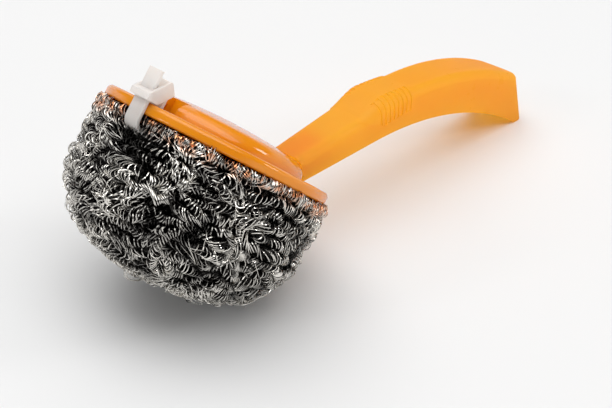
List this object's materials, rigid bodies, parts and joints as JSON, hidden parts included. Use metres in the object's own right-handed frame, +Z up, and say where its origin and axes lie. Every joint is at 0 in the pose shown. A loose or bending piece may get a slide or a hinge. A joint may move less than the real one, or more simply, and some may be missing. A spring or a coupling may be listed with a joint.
{
  "type": "pot scrubber",
  "caption": "Pot scrubber: a ball of curled steel strand lashed under a round crowned plate by a cable tie, with an arched hollow handle and a ribbed collar.",
  "frame": {"origin": "centre of the flat foot under the scourer, on the plane the scrubber lies on", "axes": "+X along the handle, from the scourer to the tip; +Y across; +Z up from the plane it lies on"},
  "size_m": [0.204, 0.0784, 0.0828],
  "materials": {
    "plate_plastic": "glossy, slightly translucent orange",
    "handle_plastic": "glossy, slightly translucent amber orange",
    "nylon": "milky, slightly translucent",
    "scourer_wire": "curled bright steel wire"
  },
  "bodies": {
    "scrubber": {"head_plate": "plate_plastic", "handle": "handle_plastic", "cable_tie": "nylon", "scourer_core": "scourer_wire", "scourer_strand": "scourer_wire"},
    "pawl": {"tie_pawl": "nylon"}
  },
  "joints": [
    {"name": "pawl_hinge", "type": "hinge", "parent": "scrubber", "child": "pawl", "pos_m": [-0.02092, 0, 0.07453], "axis": [0, 1, 0], "range_deg": [0, 12], "stiffness_Nm_per_rad": 0.001}
  ]
}
